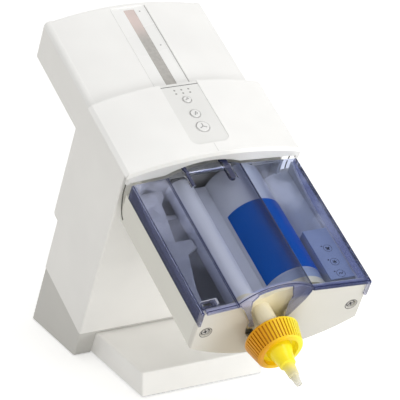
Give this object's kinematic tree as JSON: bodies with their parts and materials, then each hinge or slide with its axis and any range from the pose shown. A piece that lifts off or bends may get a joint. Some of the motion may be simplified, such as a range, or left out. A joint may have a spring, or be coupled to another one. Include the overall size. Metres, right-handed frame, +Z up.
{
  "type": "impression material mixer",
  "caption": "Desktop mixer for dental impression material: sloped head on a leaning column, clear lid over a twin cartridge, mixing tip in front, flat base.",
  "frame": {"origin": "centre of the underside of the whole machine, on the surface it stands on", "axes": "+Z up, -Y towards the mixing tip (front), +X to the right seen from the front"},
  "size_m": [0.199, 0.4644, 0.3665],
  "materials": {
    "base_plate": "moulded, satin",
    "base_bottom": "zinc plated sheet",
    "rubber_feet": "moulded rubber",
    "foot_wedge": "moulded, satin grey",
    "side_shell_left": "moulded, satin",
    "side_shell_right": "moulded, satin",
    "rear_cover": "moulded, satin",
    "level_strip": "moulded inlay",
    "level_window": "smoked clear window",
    "front_cover": "moulded, satin",
    "keypad_panel": "membrane film",
    "key_small": "moulded key",
    "key_medium": "moulded key",
    "key_large": "moulded key",
    "status_leds": "light emitting diodes",
    "control_board": "printed circuit board",
    "tray": "moulded",
    "front_plate": "moulded, satin",
    "front_plate_screws": "steel screws",
    "info_panel": "symbol plate",
    "lid": "smoke-blue clear moulding",
    "lid_latch": "moulded catch",
    "hinge_brackets": "dark moulded lugs",
    "lid_hinge_pin": "ground pin",
    "cartridge_barrel_large": "translucent moulding",
    "cartridge_barrel_small": "translucent moulding",
    "cartridge_front": "moulding",
    "cartridge_label": "blue film label, plain",
    "cartridge_piston_large": "moulded plug",
    "cartridge_piston_small": "moulded plug",
    "disc_large": "turned",
    "disc_small": "turned",
    "rod_large": "ground and plated",
    "rod_small": "ground and plated",
    "crosshead": "machined",
    "level_indicator": "red pointer",
    "spindle": "rolled steel",
    "spindle_bearing_plate": "machined",
    "bulkhead": "machined plate",
    "feed_motor": "geared motor",
    "mixer_motor": "motor",
    "shaft_bearing": "ball bearing",
    "drive_shaft": "ground shaft",
    "bayonet_ring": "ribbed yellow moulding",
    "mixing_tip": "moulding",
    "mixer_rotor": "moulding",
    "chassis_frame": "folded sheet",
    "power_supply": "steel case",
    "power_inlet": "moulded inlet",
    "switch_frame": "moulded frame",
    "power_switch": "rocker",
    "cover_screws": "steel screws"
  },
  "bodies": {
    "machine": {"base_plate": "base_plate", "base_bottom": "base_bottom", "rubber_feet": "rubber_feet", "foot_wedge": "foot_wedge", "side_shell_left": "side_shell_left", "side_shell_right": "side_shell_right", "rear_cover": "rear_cover", "level_strip": "level_strip", "level_window": "level_window", "front_cover": "front_cover", "keypad_panel": "keypad_panel", "status_leds": "status_leds", "control_board": "control_board", "tray": "tray", "front_plate": "front_plate", "front_plate_screws": "front_plate_screws", "info_panel": "info_panel", "lid_latch": "lid_latch", "hinge_brackets": "hinge_brackets", "lid_hinge_pin": "lid_hinge_pin", "cartridge_barrel_large": "cartridge_barrel_large", "cartridge_barrel_small": "cartridge_barrel_small", "cartridge_front": "cartridge_front", "cartridge_label": "cartridge_label", "spindle_bearing_plate": "spindle_bearing_plate", "bulkhead": "bulkhead", "feed_motor": "feed_motor", "mixer_motor": "mixer_motor", "shaft_bearing": "shaft_bearing", "mixing_tip": "mixing_tip", "chassis_frame": "chassis_frame", "power_supply": "power_supply", "power_inlet": "power_inlet", "switch_frame": "switch_frame", "cover_screws": "cover_screws"},
    "lid": {"lid": "lid"},
    "carriage": {"crosshead": "crosshead", "rod_large": "rod_large", "rod_small": "rod_small", "disc_large": "disc_large", "disc_small": "disc_small", "level_indicator": "level_indicator", "cartridge_piston_large": "cartridge_piston_large", "cartridge_piston_small": "cartridge_piston_small"},
    "spindle_body": {"spindle": "spindle"},
    "mixer_drive": {"drive_shaft": "drive_shaft", "mixer_rotor": "mixer_rotor"},
    "ring": {"bayonet_ring": "bayonet_ring"},
    "rocker": {"power_switch": "power_switch"},
    "key_1": {"key_small": "key_small"},
    "key_2": {"key_medium": "key_medium"},
    "key_3": {"key_large": "key_large"}
  },
  "joints": [
    {"name": "lid_hinge", "type": "hinge", "parent": "machine", "child": "lid", "pos_m": [0, -0.0337, 0.25227], "axis": [-1, 0, 0], "range_deg": [0, 85]},
    {"name": "feed_slide", "type": "slide", "parent": "machine", "child": "carriage", "axis": [0, -0.8934, -0.4493], "range_m": [0, 0.104]},
    {"name": "spindle_turn", "type": "hinge", "parent": "machine", "child": "spindle_body", "pos_m": [-0.004, 0.07196, 0.27922], "axis": [0, 0.8934, 0.4493], "range_deg": [0, 1874]},
    {"name": "mixer_turn", "type": "hinge", "parent": "machine", "child": "mixer_drive", "pos_m": [-0.014, -0.08146, 0.17474], "axis": [0, 0.8934, 0.4493], "continuous": true},
    {"name": "ring_turn", "type": "hinge", "parent": "machine", "child": "ring", "pos_m": [-0.014, -0.1842, 0.12307], "axis": [0, -0.8934, -0.4493], "range_deg": [0, 90]},
    {"name": "rocker_tilt", "type": "hinge", "parent": "machine", "child": "rocker", "pos_m": [0.002, 0.17252, 0.11264], "axis": [-1, 0, 0], "range_deg": [0, 16]},
    {"name": "key_1_press", "type": "slide", "parent": "machine", "child": "key_1", "axis": [0, 0.4493, -0.8934], "range_m": [0, 0.0008], "stiffness_N_per_m": 400, "springref_m": -0.0004},
    {"name": "key_2_press", "type": "slide", "parent": "machine", "child": "key_2", "axis": [0, 0.4493, -0.8934], "range_m": [0, 0.0008], "stiffness_N_per_m": 400, "springref_m": -0.0004},
    {"name": "key_3_press", "type": "slide", "parent": "machine", "child": "key_3", "axis": [0, 0.4493, -0.8934], "range_m": [0, 0.0008], "stiffness_N_per_m": 400, "springref_m": -0.0004}
  ],
  "couplings": [
    {"joint": "spindle_turn", "follows": "feed_slide", "rad_per_m": 314.16}
  ]
}
